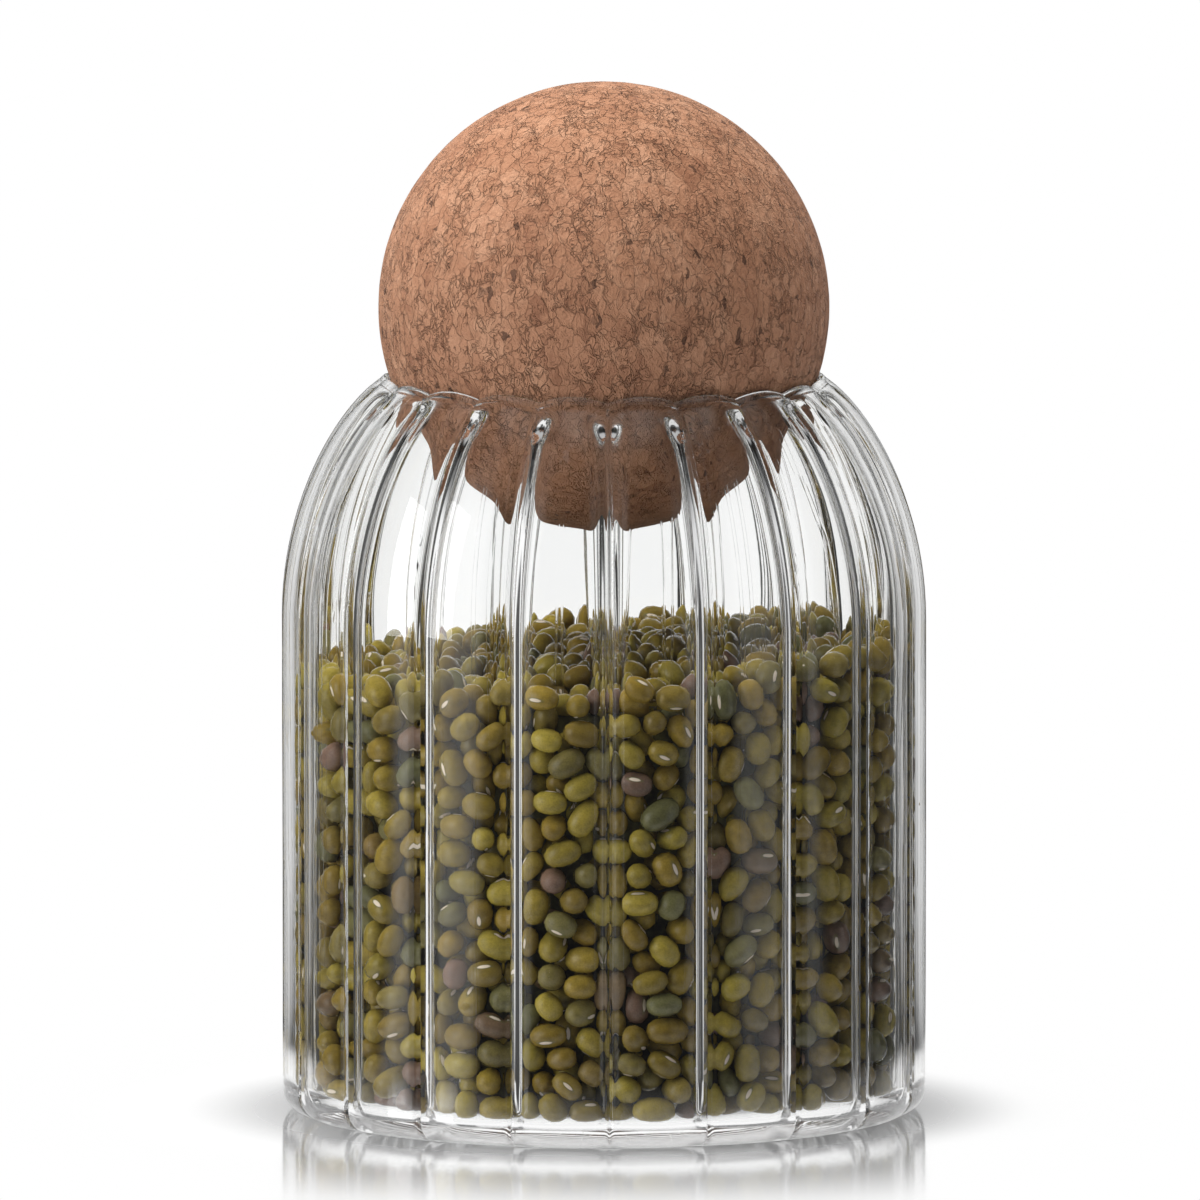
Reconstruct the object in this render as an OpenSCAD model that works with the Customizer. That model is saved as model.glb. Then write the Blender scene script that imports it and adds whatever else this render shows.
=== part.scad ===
// Storage jar of clear blown glass with upright flutes, closed by a loose ball of cork,
// and filled two thirds high with mung beans.
// Sizes are in millimetres. The jar stands on the plane z = 0 with its axis on the Z axis.

/* [Glass body] */
// Outer diameter of the jar, across the crests of the flutes
jar_d = 100.5; // [94:0.5:110]
// Height of the straight wall, up to where the shoulder begins
wall_h = 77; // [60:1:120]
// Thickness of the wall
wall_t = 2; // [1.6:0.1:2.6]
// Thickness of the floor
floor_t = 3; // [2:0.1:5]
// Outer radius of the heel, where the wall turns under the jar
heel_r = 4; // [3.5:0.1:8]
// Radius of the corner between wall and floor inside
corner_r = 2.8; // [2.5:0.1:7]
// Width of the flat ring that the jar rests on
foot_w = 6; // [3:0.5:12]
// Height of the shallow hollow inside that ring
punt_h = 0.8; // [0.3:0.1:1.5]

/* [Shoulder and rim] */
// Rise of the shoulder, from the straight wall to the top of the rim
shoulder_h = 37.2; // [30:0.2:48]
// Thickness of the rim, which is drawn thinner and rounded in the flame
lip_t = 1.4; // [1:0.1:2]
// Slope of the wall at the rim, in degrees above level
lip_slope = 25; // [10:1:45]
// How far the shoulder keeps on straight up before it bends, as the length of its lower handle
shoulder_lead = 20; // [12:1:26]
// How far the shoulder keeps the slope of the rim, as the length of its upper handle
lip_lead = 6; // [2:0.5:12]

/* [Flutes] */
// Number of flutes round the jar
flutes = 20; // [16:1:24]
// How far the crests of the flutes bulge beyond the creases between them
lobe_depth = 0.6; // [0.3:0.05:0.9]
// Depth of the sharp crease between two flutes, outside
crease_depth = 0.8; // [0.4:0.05:1]
// Width of that crease
crease_w = 0.9; // [0.6:0.05:1.4]
// Height of the soft rib that the crease pushes up inside
rib_h = 1.4; // [0.8:0.1:2]
// Width of that rib at half its height
rib_w = 2.4; // [1.6:0.1:3.2]
// How many times wider that rib is at the rim, where the glass is gathered in
rib_gather = 2.3; // [1:0.1:2.6]
// How far the rim dips at each crease
rim_dip = 1.1; // [0.5:0.1:1.6]

/* [Cork ball] */
// Diameter of the ball
ball_d = 70; // [60:0.5:78]
// How high the middle of the ball sits above the rim, which sets how wide the mouth is
seat_h = 11.7; // [8:0.1:20]
// Clearance between the ball and the rim that it rests in
seat_gap = 0.15; // [0.1:0.05:0.4]

/* [Mung beans] */
// How far the top of the heap lies below the start of the shoulder, at the axis of the jar
fill_drop = 3.5; // [3.5:0.5:50]
// Rise of the heap from its edge to its middle
heap_rise = 1; // [0:0.2:3]
// Slope of the heap to one side, in degrees
heap_slope = 3.5; // [0:0.5:4]
// Clearance between the beans and the glass
fill_gap = 0.25; // [0.2:0.05:0.6]

/* [Hidden] */

glass_color = [0.86, 0.92, 0.92, 0.35];
cork_color = [0.65, 0.45, 0.33];
bean_color = [0.42, 0.42, 0.16];

heel_steps = 4;
shoulder_steps = 9;
lip_steps = 5;
corner_steps = 3;
heap_steps = 4;

// How late on the shoulder creases and ribs melt away, as powers of the way up it
crease_melt = 6;
rib_melt = 10;

jar_r = jar_d / 2;
jar_h = wall_h + shoulder_h;
inner_r = jar_r - wall_t;
lip_r = lip_t / 2;
foot_r = jar_r - heel_r;

// The rim's round edge is a half circle about this point of the radial section, written [radius, height].
// The mouth is as wide as the ball needs, which rests seat_gap clear of that half circle at the crests.
seat_reach = ball_d / 2 + lip_r + seat_gap;
lip_centre = [sqrt(pow(seat_reach, 2) - pow(seat_h, 2)), jar_h - lip_r];
ball_z = lip_centre[1] + seat_h;

// Angles round the axis, measured from the nearest crease. The first crease faces the front.
front_angle = -90;
flute_angle = 360 / flutes;
crest_angle = flute_angle / 2;
crease_angle = atan(crease_w / 2 / jar_r);
rib_angle = atan(rib_w / 2 / inner_r);
flank_angle = 2 * rib_angle;

// Columns of points round the jar, each [direction, angle from the nearest crease]. They are close
// together at the crease and its rib, where the glass bends most.
sides = [-flank_angle, -rib_angle, -crease_angle, 0, crease_angle, rib_angle, flank_angle, crest_angle];
columns = [
    for (flute = [0 : flutes - 1], side = sides)
        [front_angle + flute * flute_angle + side, abs(side)]
];

// Cross-section of a flute, as shares of lobe_depth, crease_depth and rib_h at an angle from the crease:
// a round lobe, a sharp V, and a bell-shaped swelling that is half as high at half of its width
function lobe_share(angle) = pow(1 - angle / crest_angle, 2);
function crease_share(angle) = max(0, 1 - angle / crease_angle);
function rib_share(angle, gather) = pow(2, -pow(angle / (rib_angle * gather), 2));
function flute_shares(angle, gather) = [lobe_share(angle), crease_share(angle), rib_share(angle, gather)];

// A row is [point, normal, depths, tilt, gather]: a point of the radial section, the outward direction
// there, how deep the lobe, crease and rib push it inwards, its share of the heap's slope, and how many
// times rib_w the rib is wide.
function row(point, normal, depths = [0, 0, 0], tilt = 0, gather = 1) = [point, normal, depths, tilt, gather];
function on_arc(centre, radius, direction) = centre + radius * direction;
function heading(angle) = [cos(angle), sin(angle)];

// Shoulder: a Bezier curve that leaves the wall straight up and meets the rim at lip_slope
lip_normal = [sin(lip_slope), cos(lip_slope)];
lip_run = [-cos(lip_slope), sin(lip_slope)];
shoulder_start = [jar_r, wall_h];
shoulder_end = lip_centre + lip_r * lip_normal;
shoulder_lift = shoulder_start + [0, shoulder_lead];
shoulder_aim = shoulder_end - lip_lead * lip_run;

function shoulder_point(t) =
    pow(1 - t, 3) * shoulder_start
    + 3 * pow(1 - t, 2) * t * shoulder_lift
    + 3 * (1 - t) * pow(t, 2) * shoulder_aim
    + pow(t, 3) * shoulder_end;

function shoulder_run(t) =
    pow(1 - t, 2) * (shoulder_lift - shoulder_start)
    + 2 * (1 - t) * t * (shoulder_aim - shoulder_lift)
    + pow(t, 2) * (shoulder_end - shoulder_aim);

function shoulder_normal(t) =
    let (run = shoulder_run(t))
    [run[1], -run[0]] / norm(run);

// Towards the rim the lobes deepen to rim_dip and the ribs widen, and both creases and ribs melt away
function lobe_at(t) = lobe_depth + (rim_dip - lobe_depth) * pow(t, 3);
function gather_at(t) = 1 + (rib_gather - 1) * pow(t, 1.5);
function outer_depths(t) = [lobe_at(t), crease_depth * (1 - pow(t, crease_melt)), 0];
function inner_depths(t) = [lobe_at(t), 0, rib_h * (1 - pow(t, rib_melt))];

// Rows of the glass, from the middle of the underside up the outside, over the rim and down inside
foot_rows = [
    row([(foot_r - foot_w) / 2, punt_h * 3 / 4], [0, -1]),
    row([foot_r - foot_w, 0], [0, -1]),
    row([foot_r, 0], [0, -1])
];

heel_rows = [
    for (step = [1 : heel_steps])
        let (share = step / heel_steps, out = heading(-90 + 90 * share))
        row(on_arc([foot_r, heel_r], heel_r, out), out, outer_depths(0) * share)
];

outer_rows = [
    for (step = [0 : shoulder_steps])
        let (t = step / shoulder_steps)
        row(shoulder_point(t), shoulder_normal(t), outer_depths(t))
];

lip_rows = [
    for (step = [1 : lip_steps - 1])
        let (turn = 180 * step / lip_steps, out = cos(turn) * lip_normal + sin(turn) * lip_run)
        row(on_arc(lip_centre, lip_r, out), lip_normal, [rim_dip, 0, 0])
];

inner_rows = [
    for (step = [shoulder_steps : -1 : 0])
        let (t = step / shoulder_steps, thickness = wall_t + (lip_t - wall_t) * t, out = shoulder_normal(t))
        row(shoulder_point(t) - thickness * out, out, inner_depths(t), gather = gather_at(t))
];

corner_centre = [inner_r - corner_r, floor_t + corner_r];
corner_rows = [
    for (step = [0 : corner_steps])
        let (share = step / corner_steps, out = heading(-90 * share))
        row(on_arc(corner_centre, corner_r, out), out, inner_depths(0) * (1 - share))
];

glass_rows = concat(foot_rows, heel_rows, outer_rows, lip_rows, inner_rows, corner_rows);

// Rows of the heap of beans, which fills the flutes and lies fill_gap clear of the glass
heap_r = inner_r - fill_gap;
heap_corner_r = corner_r - fill_gap;
heap_z = wall_h - fill_drop;
heap_depths = inner_depths(0);

heap_corner_rows = [
    for (step = [corner_steps : -1 : 0])
        let (share = step / corner_steps, out = heading(-90 * share))
        row(on_arc(corner_centre, heap_corner_r, out), out, heap_depths * (1 - share))
];

heap_top_rows = [
    for (step = [heap_steps : -1 : 1])
        let (share = step / heap_steps)
        row([heap_r * share, heap_z - heap_rise * pow(share, 2)], [share, 0], heap_depths, 1)
];

heap_rows = concat(heap_corner_rows, heap_top_rows);

// One closed surface through all rows, from a point on the axis below to a point on the axis above
module loft(rows, first_z, last_z) {
    count = len(columns);
    rings = [for (r = rows, c = columns) column_point(r, c)];
    last = len(rings) + 1;
    function corner(ring, column) = 1 + ring * count + column % count;
    first_fan = [for (c = [0 : count - 1]) [0, corner(0, c), corner(0, c + 1)]];
    last_fan = [for (c = [0 : count - 1]) [last, corner(len(rows) - 1, c + 1), corner(len(rows) - 1, c)]];
    lower_halves = [
        for (ring = [0 : len(rows) - 2], c = [0 : count - 1])
            [corner(ring, c), corner(ring + 1, c), corner(ring + 1, c + 1)]
    ];
    upper_halves = [
        for (ring = [0 : len(rows) - 2], c = [0 : count - 1])
            [corner(ring, c), corner(ring + 1, c + 1), corner(ring, c + 1)]
    ];
    polyhedron(
        points = concat([[0, 0, first_z]], rings, [[0, 0, last_z]]),
        faces = concat(first_fan, lower_halves, upper_halves, last_fan)
    );
}

function column_point(r, column) =
    let (depth = r[2] * flute_shares(column[1], r[4]), at = r[0] - depth * r[1], out = heading(column[0]))
    [at[0] * out[0], at[0] * out[1], at[1] + r[3] * at[0] * out[0] * tan(heap_slope)];

module glass_jar() {
    color(glass_color) loft(glass_rows, punt_h, floor_t);
}

module cork_ball() {
    color(cork_color) translate([0, 0, ball_z]) sphere(d = ball_d, $fn = 96);
}

module mung_beans() {
    color(bean_color) loft(heap_rows, floor_t + fill_gap, heap_z);
}

glass_jar();
cork_ball();
mung_beans();
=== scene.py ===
"""Looks for a fluted glass jar with a cork ball lid and a filling of mung beans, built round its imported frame."""
import math

import bpy
import numpy as np
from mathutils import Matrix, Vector
from mathutils.kdtree import KDTree


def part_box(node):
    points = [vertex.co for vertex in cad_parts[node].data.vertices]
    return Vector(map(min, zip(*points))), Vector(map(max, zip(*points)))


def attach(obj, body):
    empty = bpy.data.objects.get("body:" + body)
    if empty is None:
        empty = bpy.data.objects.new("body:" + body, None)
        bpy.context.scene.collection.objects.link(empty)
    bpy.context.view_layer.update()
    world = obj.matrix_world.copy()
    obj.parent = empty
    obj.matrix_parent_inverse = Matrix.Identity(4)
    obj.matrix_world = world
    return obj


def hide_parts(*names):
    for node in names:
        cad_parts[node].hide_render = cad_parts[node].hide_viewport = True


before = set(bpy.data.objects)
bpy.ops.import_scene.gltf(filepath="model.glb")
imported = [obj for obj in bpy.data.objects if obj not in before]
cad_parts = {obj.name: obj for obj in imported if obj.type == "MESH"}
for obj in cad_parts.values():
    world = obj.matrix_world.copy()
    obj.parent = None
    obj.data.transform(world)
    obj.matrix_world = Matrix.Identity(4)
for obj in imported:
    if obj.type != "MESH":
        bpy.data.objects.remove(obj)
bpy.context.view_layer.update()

bl_info = {
    "name": "Fluted Glass Jar",
    "version": (1, 0, 0),
    "blender": (4, 5, 0),
    "location": "3D View > Sidebar > Jar",
    "description": "Blows a fluted glass jar, fills it with beans and closes it with a ball of cork",
    "category": "Mesh",
}

MM = 0.001
FULL_TURN = 2 * math.pi


# Sizes that come from the frame

def node_points(node):
    """The points of a frame node, as an array of rows (x, y, z) in metres."""
    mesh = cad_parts[node].data
    points = np.empty(len(mesh.vertices) * 3, np.float32)
    mesh.vertices.foreach_get("co", points)
    return points.reshape(-1, 3).astype(float)


GLASS_POINTS = node_points("glass_jar")
CREST_RADIUS = float(np.hypot(GLASS_POINTS[:, 0], GLASS_POINTS[:, 1]).max())
RIM_HEIGHT = float(GLASS_POINTS[:, 2].max())
BALL_LOW, BALL_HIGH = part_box("cork_ball")
BALL_CENTRE = (BALL_LOW + BALL_HIGH) / 2
BALL_RADIUS = (BALL_HIGH.z - BALL_LOW.z) / 2
HEAP_LOW, HEAP_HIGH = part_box("mung_beans")


# Settings

def length(name, description, default):
    """A size in metres that the panel shows as a length."""
    return bpy.props.FloatProperty(
        name=name, description=description, default=default, min=0, unit="LENGTH", precision=5
    )


def share(name, description, default):
    """A number from 0 to 1."""
    return bpy.props.FloatProperty(
        name=name, description=description, default=default, min=0, max=1, subtype="FACTOR"
    )


def colour(name, description, default):
    """A linear colour."""
    return bpy.props.FloatVectorProperty(
        name=name, description=description, default=default, min=0, max=1, size=3, subtype="COLOR"
    )


class GlassSettings(bpy.types.PropertyGroup):
    flutes: bpy.props.IntProperty(name="Flutes", description="Flutes round the jar", default=20, min=16, max=24)
    wall: length("Wall", "Thickness of the blown wall", 2.0 * MM)
    lip: length("Lip", "Thickness of the rounded rim", 1.4 * MM)
    floor: length("Floor", "Thickness of the floor", 3.0 * MM)
    heel: length("Heel", "Outer radius where the wall turns under", 4.0 * MM)
    corner: length("Corner", "Radius between wall and floor inside", 2.8 * MM)
    foot: length("Foot", "Width of the ring that the jar rests on", 6.0 * MM)
    punt: length("Punt", "Height of the hollow underneath", 0.8 * MM)
    shoulder: length("Shoulder", "Rise from the straight wall to the rim", 37.2 * MM)
    shoulder_lead: length("Shoulder lead", "Lower handle of the shoulder's curve", 20.0 * MM)
    lip_lead: length("Lip lead", "Upper handle of the shoulder's curve", 6.0 * MM)
    lip_slope: bpy.props.FloatProperty(
        name="Lip slope", description="Slope of the wall at the rim", default=math.radians(25), subtype="ANGLE"
    )
    seat: length("Seat", "Height of the ball's middle above the rim", 11.7 * MM)
    seat_gap: length("Seat gap", "Clearance between ball and rim", 0.15 * MM)
    lobe: length("Lobe", "Bulge of a flute beyond its creases", 0.6 * MM)
    crease: length("Crease", "Depth of the crease outside", 0.8 * MM)
    crease_width: length("Crease width", "Width of the crease outside", 0.9 * MM)
    rib: length("Rib", "Height of the rib inside a crease", 1.4 * MM)
    rib_width: length("Rib width", "Width of the rib at half its height", 2.4 * MM)
    rib_gather: bpy.props.FloatProperty(name="Rib gather", description="Widening of ribs at the rim", default=2.3)
    rim_dip: length("Rim dip", "Dip of the rim at a crease", 1.1 * MM)
    bead: length("Bead", "How far the flame-polished rim swells outside", 0.25 * MM)
    drop: length("Drop", "How much further a rib swells at its upper end", 0.7 * MM)
    wave: length("Wave", "Height of the slow waves that blowing leaves", 0.05 * MM)
    refraction: bpy.props.FloatProperty(name="Refraction", description="Index of the glass", default=1.47)
    tint: colour("Tint", "Colour of the glass", (0.996, 1.0, 0.998))


class BeanSettings(bpy.types.PropertyGroup):
    half_length: length("Half length", "Half the length of a bean", 2.8 * MM)
    thickness: length("Thickness", "Half the thickness of a bean", 2.1 * MM)
    spread: share("Spread", "How much the beans differ in size", 0.10)
    stretch: share("Stretch", "How much the beans differ in length beyond that", 0.11)
    heap_rise: length("Heap rise", "Rise of the heap from its edge to its middle", 1.0 * MM)
    heap_slope: bpy.props.FloatProperty(
        name="Heap slope", description="Slope of the heap to one side", default=math.radians(3.5), subtype="ANGLE"
    )
    layers: bpy.props.FloatProperty(name="Layers", description="Layers of loose beans round the core", default=2.2)
    fill: share("Fill", "Share of the space that the beans take up", 0.62)
    rounds: bpy.props.IntProperty(name="Rounds", description="Settling steps", default=160)
    seed: bpy.props.IntProperty(name="Seed", description="Seed of the random draws", default=11)
    green: colour("Green", "The common olive green", (0.215, 0.142, 0.021))
    bright: colour("Bright", "The yellow green of the brightest beans", (0.290, 0.226, 0.036))
    dull: colour("Dull", "The grey green of the dullest beans", (0.130, 0.124, 0.050))
    brown: colour("Brown", "The rare brown beans", (0.165, 0.100, 0.070))
    scar: colour("Scar", "The pale scar on a bean's side", (0.72, 0.62, 0.50))


class CorkSettings(bpy.types.PropertyGroup):
    granule: length("Granule", "Size of the cork granules", 2.8 * MM)
    relief: length("Relief", "Depth of the uneven sanded surface", 0.10 * MM)
    pale: colour("Pale", "The palest granules", (0.505, 0.270, 0.164))
    middle: colour("Middle", "The common granules", (0.405, 0.200, 0.115))
    deep: colour("Deep", "The darkest granules", (0.290, 0.133, 0.075))
    # Bark colours the specks. In the cracks it is painted shade.
    bark: colour("Bark", "Specks of bark and the cracks", (0.085, 0.042, 0.027))


class StageSettings(bpy.types.PropertyGroup):
    floor: colour("Floor", "Colour of the floor", (0.86, 0.86, 0.865))
    distance: length("Distance", "Camera's distance from the jar's axis", 3.0)
    tilt: bpy.props.FloatProperty(
        name="Tilt", description="Camera's height above level", default=math.radians(6.2), subtype="ANGLE"
    )
    turn: bpy.props.FloatProperty(
        name="Turn", description="Camera's turn round the axis", default=math.radians(-1), subtype="ANGLE"
    )
    view_width: length("View width", "Width that the picture spans at the axis", 186.3 * MM)
    aim_height: length("Aim height", "Height on the axis that the picture is centred on", 79.5 * MM)
    aim_side: length("Aim side", "How far left of the axis the picture is centred", 0.58 * MM)
    ambient: bpy.props.FloatProperty(name="Ambient", description="Strength of the light all round", default=0.12)


class JarSettings(bpy.types.PropertyGroup):
    glass: bpy.props.PointerProperty(type=GlassSettings)
    beans: bpy.props.PointerProperty(type=BeanSettings)
    cork: bpy.props.PointerProperty(type=CorkSettings)
    stage: bpy.props.PointerProperty(type=StageSettings)


# Mesh helpers

def closed_grid_faces(rows, columns):
    """Faces of a grid whose columns close into rings: quads between rows, numbered row by row."""
    row, column = np.meshgrid(np.arange(rows - 1), np.arange(columns), indexing="ij")
    low = row * columns + column
    side = row * columns + (column + 1) % columns
    return np.stack([low, side, side + columns, low + columns], -1).reshape(-1, 4)


def revolve_faces(rows, columns):
    """Quads of a closed grid, with a fan of triangles at each end to a last-but-one and a last point."""
    quads = closed_grid_faces(rows, columns)
    column = np.arange(columns)
    after = (column + 1) % columns
    first_pole = np.full(columns, rows * columns)
    first = np.stack([after, column, first_pole], -1)
    top = (rows - 1) * columns
    last = np.stack([top + column, top + after, first_pole + 1], -1)
    return quads, np.vstack([first, last])


def make_piece(name, points, quads, triangles, body, slot):
    """A smooth mesh object from arrays of points, quads and triangles, which rides on a body."""
    mesh = bpy.data.meshes.new(name)
    mesh.vertices.add(len(points))
    mesh.vertices.foreach_set("co", np.asarray(points, np.float32).ravel())
    corners = np.concatenate([quads.ravel(), triangles.ravel()]).astype(np.int32)
    sizes = np.concatenate([np.full(len(quads), 4), np.full(len(triangles), 3)]).astype(np.int32)
    mesh.loops.add(len(corners))
    mesh.loops.foreach_set("vertex_index", corners)
    mesh.polygons.add(len(sizes))
    mesh.polygons.foreach_set("loop_start", (np.cumsum(sizes) - sizes).astype(np.int32))
    mesh.polygons.foreach_set("use_smooth", np.ones(len(sizes), bool))
    mesh.update(calc_edges=True)
    mesh.validate()
    piece = bpy.data.objects.new(name, mesh)
    bpy.context.scene.collection.objects.link(piece)
    if body:
        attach(piece, body)
    return piece


# Node helpers

def add_node(tree, kind, inputs=None, **values):
    """A shader node with its own values set, and numbers or links put on its inputs by name or place."""
    node = tree.nodes.new(kind)
    for key, value in values.items():
        setattr(node, key, value)
    for key, value in (inputs or {}).items():
        if isinstance(value, bpy.types.NodeSocket):
            tree.links.new(value, node.inputs[key])
        else:
            node.inputs[key].default_value = value
    return node


def maths(tree, operation, *values, clamp=False):
    """A Math node over numbers or sockets. Gives its output."""
    node = add_node(tree, "ShaderNodeMath", dict(enumerate(values)), operation=operation, use_clamp=clamp)
    return node.outputs[0]


def between(tree, value, low, high, to_low=0.0, to_high=1.0, smooth=True):
    """Maps a value from low..high to to_low..to_high, held at the ends."""
    kind = "SMOOTHSTEP" if smooth else "LINEAR"
    inputs = {"Value": value, "From Min": low, "From Max": high, "To Min": to_low, "To Max": to_high}
    return add_node(tree, "ShaderNodeMapRange", inputs, interpolation_type=kind).outputs["Result"]


def blend_colours(tree, amount, first, second, kind="MIX"):
    """Mixes two colours, given as sockets or as red, green and blue."""
    node = add_node(tree, "ShaderNodeMix", data_type="RGBA", blend_type=kind)
    for key, value in (("Factor_Float", amount), ("A_Color", first), ("B_Color", second)):
        socket = next(s for s in node.inputs if s.identifier == key)
        if isinstance(value, bpy.types.NodeSocket):
            tree.links.new(value, socket)
        else:
            socket.default_value = value if isinstance(value, float) else (*value, 1.0)
    return next(s for s in node.outputs if s.identifier == "Result_Color")


def new_material(name):
    """A material with its node tree, its Principled shader and the place on the surface in metres."""
    material = bpy.data.materials.new(name)
    material.use_nodes = True
    tree = material.node_tree
    place = add_node(tree, "ShaderNodeTexCoord").outputs["Object"]
    return material, tree, tree.nodes["Principled BSDF"], place


def mottle_group():
    """Node group: two noises of different size, mixed into one value about 0.5. Used by cork and beans."""
    name = "Mottle"
    if name in bpy.data.node_groups:
        return bpy.data.node_groups[name]
    group = bpy.data.node_groups.new(name, "ShaderNodeTree")
    group.interface.new_socket("Vector", in_out="INPUT", socket_type="NodeSocketVector")
    group.interface.new_socket("Scale", in_out="INPUT", socket_type="NodeSocketFloat")
    group.interface.new_socket("Fine Share", in_out="INPUT", socket_type="NodeSocketFloat")
    group.interface.new_socket("Value", in_out="OUTPUT", socket_type="NodeSocketFloat")
    given = group.nodes.new("NodeGroupInput").outputs
    coarse = add_node(group, "ShaderNodeTexNoise", {"Vector": given["Vector"], "Scale": given["Scale"]})
    fine_scale = maths(group, "MULTIPLY", given["Scale"], 4.3)
    fine = add_node(group, "ShaderNodeTexNoise", {"Vector": given["Vector"], "Scale": fine_scale})
    mixed = add_node(group, "ShaderNodeMix", data_type="FLOAT")
    group.links.new(given["Fine Share"], mixed.inputs["Factor"])
    group.links.new(coarse.outputs["Fac"], mixed.inputs["A"])
    group.links.new(fine.outputs["Fac"], mixed.inputs["B"])
    result = group.nodes.new("NodeGroupOutput")
    group.links.new(mixed.outputs["Result"], result.inputs["Value"])
    return group


def wrinkle_lines(tree, vector, scale, width):
    """Thin winding lines, where a noise crosses its middle value. Gives 1 on a line and 0 beside it."""
    noise = add_node(tree, "ShaderNodeTexNoise", {"Vector": vector, "Scale": scale, "Detail": 1.5})
    away = maths(tree, "ABSOLUTE", maths(tree, "SUBTRACT", noise.outputs["Fac"], 0.5))
    return between(tree, away, width, 0.0)


def mottle(tree, vector, scale, fine_share=0.4):
    """The Mottle group in a material. Gives its value."""
    inputs = {"Vector": vector, "Scale": scale, "Fine Share": fine_share}
    node = tree.nodes.new("ShaderNodeGroup")
    node.node_tree = mottle_group()
    for key, value in inputs.items():
        if isinstance(value, bpy.types.NodeSocket):
            tree.links.new(value, node.inputs[key])
        else:
            node.inputs[key].default_value = value
    return node.outputs["Value"]


# Glass

def flute_shares(angle, glass, widening):
    """Cross-section of a flute at angles from its nearest crease, in radians, for rows of some widening.

    Lobe: the square of how near the crease is. Crease: a V, the 1.5th power of how near the crease is
    within 1.25 times its half width. Rib: a bell curve that is half as high at half the rib's width.
    """
    crest = math.pi / glass.flutes
    crease_half = glass.crease_width / 2 / CREST_RADIUS
    rib_half = glass.rib_width / 2 / (CREST_RADIUS - glass.wall)
    lobe = (1 - angle / crest) ** 2
    near = np.clip(1 - angle / (1.25 * crease_half), 0, None)
    crease = near ** 1.5
    rib = 2.0 ** -((angle / (rib_half * widening)) ** 2)
    return lobe, crease, rib


def flute_angles(glass, steps):
    """Directions of the columns round the jar and their angles from the nearest crease.

    Each flute has the same steps, which crowd together towards its crease by a power of 2.
    """
    crest = math.pi / glass.flutes
    across = np.linspace(-1, 1, steps, endpoint=False)
    side = crest * np.sign(across) * np.abs(across) ** 2
    middles = np.arange(glass.flutes) * 2 * crest - math.pi / 2
    direction = (middles[:, None] + side[None, :]).ravel()
    return direction, np.tile(np.abs(side), glass.flutes)


def smooth_step(values, low, high):
    """0 up to low, 1 from high on, and 3s^2 - 2s^3 of the share s between them."""
    part = np.clip((values - low) / (high - low), 0, 1)
    return part ** 2 * (3 - 2 * part)


def arc(centre, radius, start, stop, count):
    """Points on an arc of the radial section with their outward directions, by cosine and sine."""
    turn = np.linspace(start, stop, count)
    out = np.stack([np.cos(turn), np.sin(turn)], -1)
    return np.asarray(centre) + radius * out, out


def shoulder_curve(glass, t):
    """The outer shoulder: a cubic Bezier curve of radius and height, with its outward directions.

    It leaves the wall straight up and meets the rim at the lip's slope. The direction is the
    curve's tangent turned a quarter to the outside.
    """
    slope = glass.lip_slope
    lip_out = np.array([math.sin(slope), math.cos(slope)])
    lip_run = np.array([-math.cos(slope), math.sin(slope)])
    lip_centre = rim_centre(glass)
    start = np.array([CREST_RADIUS, RIM_HEIGHT - glass.shoulder])
    end = lip_centre + glass.lip / 2 * lip_out
    lift = start + [0, glass.shoulder_lead]
    aim = end - glass.lip_lead * lip_run
    t = t[:, None]
    point = (1 - t) ** 3 * start + 3 * (1 - t) ** 2 * t * lift + 3 * (1 - t) * t ** 2 * aim + t ** 3 * end
    run = (1 - t) ** 2 * (lift - start) + 2 * (1 - t) * t * (aim - lift) + t ** 2 * (end - aim)
    out = np.stack([run[:, 1], -run[:, 0]], -1)
    return point, out / np.linalg.norm(out, axis=1)[:, None], lip_out, lip_run


def rim_centre(glass):
    """Centre of the rim's round edge in the radial section: the ball's reach gives its radius."""
    reach = BALL_RADIUS + glass.lip / 2 + glass.seat_gap
    return np.array([math.sqrt(reach ** 2 - glass.seat ** 2), RIM_HEIGHT - glass.lip / 2])


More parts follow.
